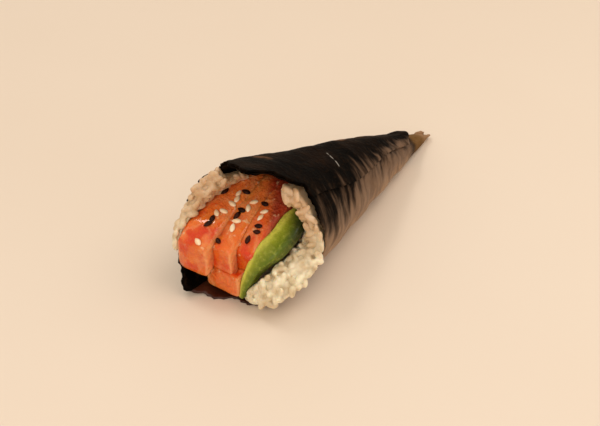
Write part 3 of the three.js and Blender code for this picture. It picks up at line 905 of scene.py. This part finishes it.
def unevenness(point):
    """How far a point of a strip is moved, so that it looks soft."""
    parts = [noise.noise(point / UNEVEN_SIZE + Vector((shift, 0, 0))) for shift in (0, 17, 41)]
    return Vector(parts) * UNEVENNESS


class Neighbour:
    """A strip already laid, for others to keep clear of."""

    def __init__(self, mesh):
        points = [vertex.co / MM - APEX for vertex in mesh.vertices]
        self.tree = BVHTree.FromPolygons(points, [tuple(face.vertices) for face in mesh.polygons])

    def blocks(self, point):
        spot, normal, _, _ = self.tree.find_nearest(point)
        return (point - spot).dot(normal) < STRIP_GAP


class Strip:
    """Cross-sections of a strip, and each point's place along, across and into it."""

    def __init__(self, name, grow=0.0, uneven=False, neighbours=()):
        self.name = name
        self.shape = STRIPS[name]
        self.route = strip_route(name)
        self.swell = self.shape.get("swell", (0, 0)) if neighbours else (0, 0)
        self.joined = self.shape.get("joined", 0) if uneven else 0
        self.grow = grow
        self.uneven = uneven
        self.neighbours = neighbours
        self.points, self.places, self.shares, self.faces = [], [], [], []

    def point(self, section, offset, depth):
        place, along, across, out, lean = section
        point = place - along * (lean * depth) + across * offset - out * depth
        return point + unevenness(point) if self.uneven else point

    def is_free(self, point):
        return not any(neighbour.blocks(point) for neighbour in self.neighbours)

    def clear_point(self, section, offset, depth, thickness):
        """The point, or the nearest free one towards the strip's middle or, failing that, its bottom."""
        point = self.point(section, offset, depth)
        if self.is_free(point):
            return point, offset, depth
        for goal in ((0.0, depth), (offset, thickness)):
            if not self.is_free(self.point(section, *goal)):
                continue
            low, high = 0.0, 1.0
            for _ in range(12):
                share = (low + high) / 2
                tried = (lerp(offset, goal[0], share), lerp(depth, goal[1], share))
                low, high = (low, share) if self.is_free(self.point(section, *tried)) else (share, high)
            offset, depth = lerp(offset, goal[0], high), lerp(depth, goal[1], high)
            return self.point(section, offset, depth), offset, depth
        return point, offset, depth

    def add_section(self, share):
        """A rounded box across the strip."""
        length = self.route[2]
        place, along, across, out = strip_frame(self.route, share)
        end = round_end(share, length)
        half_width = interpolate(self.shape["half_width"], share)
        thickness = interpolate(self.shape["thickness"], share)
        lean = self.shape["lean"] * (1 - smooth(share, 0, LEAN_REACH))
        section = (place, along, across, out, lean)
        for corner in range(STRIP_CORNERS):
            turn = 2 * math.pi * corner / STRIP_CORNERS
            is_joined = math.sin(turn) * self.joined > 0
            power = SQUARENESS / 4 if is_joined else SQUARENESS
            side = math.copysign(abs(math.cos(turn)) ** power, math.cos(turn))
            deep = math.copysign(abs(math.sin(turn)) ** power, math.sin(turn))
            half_depth = thickness / 2 * (1 if is_joined else end) + self.grow
            depth = thickness / 2 - deep * half_depth - max(0, deep) * self.swell[1]
            offset = side * (half_width * end + self.grow + self.swell[0])
            point, offset, depth = self.clear_point(section, offset, depth, thickness)
            self.points.append(point)
            self.places.append((share * length, offset, depth))
            self.shares.append((share, side, deep))

    def lay(self):
        for share in station_shares(STRIP_STATIONS):
            self.add_section(share)
        for ring in range(STRIP_STATIONS - 1):
            self.faces += band(self.ring(ring), self.ring(ring + 1))
        self.close_end(0, True)
        self.close_end(STRIP_STATIONS - 1, False)
        return self.mesh()

    def ring(self, number):
        return [number * STRIP_CORNERS + corner for corner in range(STRIP_CORNERS)]

    def close_end(self, number, is_front):
        """Rings that shrink to the middle of an end face."""
        previous = first = self.ring(number)
        values = [self.points, self.places, self.shares]
        middles = [np.mean([list(kept[index]) for index in first], axis=0) for kept in values]
        for size in (0.8, 0.6, 0.4, 0.2):
            current = []
            for index in first:
                current.append(len(self.points))
                for kept, middle in zip(values, middles):
                    kept.append(Vector(lerp(middle, np.array(kept[index]), size)))
            self.faces += [face[::-1] if is_front else face for face in band(previous, current)]
            previous = current
        self.faces.append(tuple(previous[::-1]) if is_front else tuple(previous))

    def mesh(self):
        mesh = make_mesh(self.name, self.points, self.faces)
        store(mesh, "strip_place", "FLOAT_VECTOR", [tuple(place) for place in self.places])
        store(mesh, "strip_share", "FLOAT_VECTOR", [tuple(share) for share in self.shares])
        point_outwards(mesh)
        return mesh


def make_strip(name, laid, material):
    mesh = Strip(name, 0.0, True, [Neighbour(piece.data) for piece in laid]).lay()
    piece = new_object(name + "_piece", mesh)
    mesh.materials.append(material)
    shade_smooth(piece)
    return piece


# ---- Small bodies: seeds and grains ----

def small_body(name, profile, length, width, height, bend=0.0, sides=8):
    """A small rounded body along X, flattened along Z, bent a little across Y."""
    points, faces = [], []
    for place, radius in profile:
        for side in range(sides):
            turn = 2 * math.pi * side / sides
            aside = radius * width * math.cos(turn) + bend * length * place * place
            points.append(Vector((place * length, aside, radius * height * math.sin(turn))) * MM)
    rings = [tuple(range(ring * sides, (ring + 1) * sides)) for ring in range(len(profile))]
    for ring, after in zip(rings, rings[1:]):
        faces += band(ring, after)
    mesh = plain_mesh(name, points, [*faces, rings[0][::-1], rings[-1]])
    point_outwards(mesh)
    piece = new_object(name, mesh)
    shade_smooth(piece)
    return piece


def seed_places(name, strip):
    """Where a strip's seeds lie, the way each points and faces, and whether it is black."""
    number = draws(len(name))
    route = strip_route(name)
    surface = Neighbour(strip.data).tree
    places = []
    for middle, aside, spread, count, black in SEED_PATCHES[name]:
        for order in range(count):
            share = middle + spread * (2 * next(number) - 1)
            drifted = aside + SEED_DRIFT * (next(number) - 0.5)
            offset = min(SEED_REACH, max(-SEED_REACH, drifted))
            turn = math.pi * next(number)
            is_clear = False
            while not is_clear:
                middle_of_top, along, across, _ = strip_frame(route, share)
                half_width = interpolate(STRIPS[name]["half_width"], share)
                spot, facing, _, _ = surface.find_nearest(middle_of_top + across * (offset * half_width))
                spot = spot + facing * (SEED_LIFT * SEED_HEIGHT)
                is_apart = all((spot - place[0]).length > SEED_APART for place in places)
                is_clear = facing.z > SEED_UPRIGHT and is_apart
                share += SEED_NUDGE
            heading = along * math.cos(turn) + across * math.sin(turn)
            places.append((spot, heading, facing, order < black))
    return places


def sprinkle_seeds(tree, given):
    """Puts a seed at each point, lying the way that is kept there."""
    uneven = Wire(tree, given["Unevenness"])
    size = random_between(tree, uneven * -1.0 + 1.0, uneven + 1.0, given["Random seed"], "FLOAT")
    facing, heading = (stored(tree, name, "FLOAT_VECTOR") for name in ("facing", "heading"))
    return copies(tree, given["Geometry"], given["Seed shape"], turned(tree, facing, heading), size)


def make_seeds(name, places, shape, material):
    mesh = make_mesh(name, [place[0] for place in places], [])
    store(mesh, "heading", "FLOAT_VECTOR", [place[1] for place in places])
    store(mesh, "facing", "FLOAT_VECTOR", [place[2] for place in places])
    sizes = {"Seed shape": shape, "Unevenness": SEED_UNEVENNESS, "Random seed": SEED_SIZES_SEED}
    return run_tree(new_object(name, mesh), sprinkle_seeds, sizes, material)


# ---- The rice ----

def rice_grid():
    """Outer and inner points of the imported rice, row by row from the tip to the mouth."""
    start = RICE_RIGHT_TOP - 360
    columns = round((RICE_LEFT_TOP - start) / RICE_STEP)
    outer, inner = [], []
    for row in range(RICE_ROWS):
        share = (row / (RICE_ROWS - 1)) ** RICE_ROW_SPREAD
        for column in range(columns + 1):
            place = column / columns
            rim_angle = lerp(start, RICE_LEFT_TOP, place)
            slant = lerp(RICE_BACK, interpolate(RICE_RIM, rim_angle) - GRAIN_ROOM, share)
            opening = smooth(slant, *RICE_THROAT)
            closed_angle = lerp(90 + RICE_SLIT / 2 - 360, 90 - RICE_SLIT / 2, place)
            angle = lerp(closed_angle, rim_angle, opening)
            free = smooth(slant, mouth_slant(angle) - 3, mouth_slant(angle) + 5)
            wrapped = 2 * SHEET_THICKNESS + LAYER_GAP + CLEARANCE + RICE_INSET
            full = slant * SLOPE - wrapped + (interpolate(RICE_BULGE, rim_angle) - GRAIN_ROOM) * free
            rounded = full * (1 - RICE_RIM_ROUNDING * smooth(share, 0.9, 1))
            wanted = interpolate(RICE_HOLLOW, rim_angle) * opening
            hollow = min(rounded - RICE_THINNEST, max(RICE_SOLID, wanted))
            floor = lerp(SHEET_THICKNESS + CLEARANCE, 0, free)
            outer.append(point_on_cone(slant, angle, rounded, floor + 0.1 + GRAIN_ROOM * free))
            inner.append(point_on_cone(slant, angle, hollow, floor + 1 + GRAIN_ROOM * free))
    return outer, inner, columns + 1


def rice_core(rooms, material):
    """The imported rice, with room for the strips cut out of it."""
    outer, inner, columns = rice_grid()
    total = len(outer)
    last_row = total - columns
    faces = []
    for a, d, c, b in grid(RICE_ROWS, columns):
        faces.append((a, b, c, d))
        faces.append((d + total, c + total, b + total, a + total))
    rim = [*range(columns - 1), *range(columns - 1, total - 1, columns)]
    rim += [*range(total - 1, last_row, -1), *range(last_row, 0, -columns)]
    for here, after in zip(rim, rim[1:] + rim[:1]):
        faces.append((after, here, here + total, after + total))
    mesh = make_mesh("rice_core", outer + inner, faces)
    point_outwards(mesh)
    core = new_object("rice_core", mesh)
    mesh.materials.append(material)
    for room in rooms:
        cutter = core.modifiers.new("room", "BOOLEAN")
        cutter.operation = "DIFFERENCE"
        cutter.solver = "MANIFOLD"
        cutter.object = room
    settle(core)
    shade_smooth(core)
    return core


def mark_cover(core):
    """Marks where on the core the loose grains of the surface lie."""
    cover = []
    for face in core.data.polygons:
        point = face.center / MM - APEX
        slant, angle, radius = cone_coordinates(point)
        outward = (point - AXIS * point.dot(AXIS)).normalized()
        faces_in = outward.dot(face.normal) < 0.3
        past_nori = slant > mouth_slant(angle) + 1
        is_open = slant > SHOWN_SLANT and radius > SHOWN_RADIUS and point.z > SHOWN_HEIGHT
        cover.append(1.0 if is_open and (faces_in or past_nori) else 0.0)
    store(core.data, "cover", "FLOAT", cover, "FACE")


def scatter_grains(tree, given):
    """Lays grains over a surface, side by side, along whatever wall they are next to."""
    width = Wire(tree, given["Grain width"])
    length = Wire(tree, given["Grain length"])
    seed = given["Random seed"]
    spread = {"Mesh": given["Geometry"], "Distance Min": given["Spacing"], "Density Max": 900000.0,
              "Density Factor": stored(tree, "cover"), "Seed": seed}
    spots = add(tree, "GeometryNodeDistributePointsOnFaces", spread, distribute_method="POISSON")
    walls = add(tree, "GeometryNodeObjectInfo", {"Object": given["Walls"]})
    near = add(tree, "GeometryNodeProximity", {0: walls.outputs["Geometry"]}, target_element="FACES")
    gap = Wire(tree, near.outputs["Distance"])
    too_near = {"Geometry": spots.outputs["Points"], "Selection": gap.math("LESS_THAN", width * 0.36)}
    clear = add(tree, "GeometryNodeDeleteGeometry", too_near, domain="POINT")
    looseness = gap.between(width * 0.4, length * 0.55)
    turn = grain_turn(tree, seed, spots.outputs["Normal"], near.outputs["Position"], looseness)
    size = random_between(tree, (0.76, 0.84, 0.84), (1.12, 1.1, 1.08), seed)
    return copies(tree, clear.outputs[0], given["Grain shape"], turn, size)


def grain_turn(tree, seed, normal, wall_place, looseness):
    """Along the wall where one is close, and any way round where none is."""
    def vector(operation, *values):
        return add(tree, "ShaderNodeVectorMath", dict(enumerate(values)), operation=operation).outputs[0]

    def random_vector(reach, shift):
        other_seed = add(tree, "ShaderNodeMath", {0: seed, 1: shift}, operation="ADD").outputs[0]
        return random_between(tree, (-reach,) * 3, (reach,) * 3, other_seed)

    here = add(tree, "GeometryNodeInputPosition").outputs[0]
    beside = vector("NORMALIZE", vector("CROSS_PRODUCT", vector("SUBTRACT", wall_place, here), normal))
    heading = add(tree, "ShaderNodeMix", data_type="VECTOR")
    feed(tree, heading.inputs["Factor"], looseness)
    ends = [socket for socket in heading.inputs if socket.type == "VECTOR" and socket.enabled]
    feed(tree, ends[-2], beside)
    feed(tree, ends[-1], random_vector(1.0, 1.0))
    toward = next(socket for socket in heading.outputs if socket.type == "VECTOR")
    return turned(tree, vector("ADD", normal, random_vector(0.7, 9.0)), toward)


def stick_together(piece):
    """Makes one skin of grains that stick to each other."""
    material = piece.data.materials[-1]
    skin = piece.modifiers.new("skin", "REMESH")
    skin.mode = "VOXEL"
    skin.voxel_size = SKIN_FINENESS * MM
    settle(piece)
    piece.data.materials.clear()
    piece.data.materials.append(material)
    shade_smooth(piece)


def join_copies(name, pieces):
    """One mesh of copies of some pieces."""
    points, faces = [], []
    for piece in pieces:
        first = len(points)
        points += [vertex.co.copy() for vertex in piece.data.vertices]
        faces += [tuple(first + index for index in face.vertices) for face in piece.data.polygons]
    return new_object(name, plain_mesh(name, points, faces))


# ---- Light, camera and floor ----

def make_floor(mottle):
    made = Material("pale_floor", mottle)
    cloud, _ = made.blotches(400.0)
    made.set(Base_Color=made.mix(cloud, (227, 208, 187), (230, 212, 192)), Roughness=0.5)
    half = FLOOR_SIZE / 2
    corners = [(-half, -half, 0), (half, -half, 0), (half, half, 0), (-half, half, 0)]
    mesh = plain_mesh("floor", corners, [(0, 1, 2, 3)])
    mesh.materials.append(made.material)
    new_object("floor", mesh)


def aim(thing, direction):
    thing.rotation_mode = "QUATERNION"
    thing.rotation_quaternion = direction.to_track_quat("-Z", "Y")


def make_camera():
    data = bpy.data.cameras.new("camera")
    data.lens = CAMERA_LENS
    data.sensor_width = SENSOR_WIDTH
    data.clip_start = 0.01
    camera = new_object("camera", data)
    camera.location = to_frame(CAMERA_PLACE)
    level = math.cos(CAMERA_ELEVATION)
    aim(camera, -Vector((math.sin(CAMERA_AZIMUTH) * level, -math.cos(CAMERA_AZIMUTH) * level,
                         math.sin(CAMERA_ELEVATION))))
    bpy.context.scene.camera = camera


def make_light(name, direction, power, size):
    data = bpy.data.lights.new(name, "AREA")
    data.shape = "DISK"
    data.size = size
    data.energy = power
    data.color = LIGHT_COLOUR
    light = new_object(name, data)
    light.location = direction.normalized() * LIGHT_DISTANCE
    aim(light, -direction)


def light_the_scene():
    for name, (direction, power, size) in LIGHTS.items():
        make_light(name, Vector(direction), power, size)
    world = bpy.data.worlds.new("studio")
    world.use_nodes = True
    sky = world.node_tree.nodes["Background"]
    sky.inputs["Color"].default_value = (*SKY_COLOUR, 1)
    sky.inputs["Strength"].default_value = SKY_STRENGTH
    bpy.context.scene.world = world
    bpy.context.scene.view_settings.view_transform = "Standard"


# ---- Everything together ----

def build_strips(mottle):
    salmon = make_salmon_material(mottle)
    strips = {}
    for name in SALMON_ORDER:
        strips[name] = make_strip(name, list(strips.values()), salmon)
    strips["avocado"] = make_strip("avocado", list(strips.values()), make_avocado_material(mottle))
    for name, piece in strips.items():
        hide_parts(name)
    return strips


def build_rice(mottle, nori, strips):
    rooms = [new_object("room_" + name, Strip(name, STRIP_ROOM).lay()) for name in strips]
    core = rice_core(rooms, make_rice_material(mottle, "packed_rice", 0.06))
    mark_cover(core)
    grain = small_body("grain", GRAIN_PROFILE, GRAIN_LENGTH, GRAIN_WIDTH, GRAIN_WIDTH, GRAIN_BEND)
    walls = join_copies("walls", [nori, *strips.values()])
    grains = run_tree(new_object("rice_grains", core.data.copy()), scatter_grains, {
        "Grain shape": grain, "Walls": walls, "Spacing": GRAIN_SPACING * MM,
        "Grain width": GRAIN_WIDTH * MM, "Grain length": GRAIN_LENGTH * MM, "Random seed": GRAIN_SEED,
    }, make_rice_material(mottle, "rice_grain", 0.0))
    stick_together(grains)
    for piece in (core, grains):
        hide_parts("rice")
    discard(grain, walls, *rooms)
    return [core, grains]


def build_seeds(mottle, strips):
    shape = small_body("seed", SEED_PROFILE, SEED_LENGTH, SEED_WIDTH, SEED_HEIGHT)
    places = [place for name in SEED_PATCHES for place in seed_places(name, strips[name])]
    colours = {
        "black": ((30, 10, 4), (62, 24, 10), 0.1),
        # White sesame's cream, made brighter and peach: painted highlight and painted light thrown back
        # from the salmon.
        "white": ((255, 204, 148), (255, 234, 196), 0.8),
    }
    pieces = []
    for colour, look in colours.items():
        chosen = [place for place in places if place[3] == (colour == "black")]
        material = make_seed_material(mottle, colour + "_sesame", *look)
        pieces.append(make_seeds("seeds_" + colour, chosen, shape, material))
        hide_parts(*SEED_PATCHES)
    discard(shape)
    return pieces


def build():
    mottle = mottle_group()
    make_camera()
    light_the_scene()
    make_floor(mottle)
    nori = make_nori(make_nori_material(mottle))
    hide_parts("nori")
    strips = build_strips(mottle)
    pieces = [nori, *strips.values(), *build_rice(mottle, nori, strips), *build_seeds(mottle, strips)]
    for piece in pieces:
        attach(piece, BODY)


build()
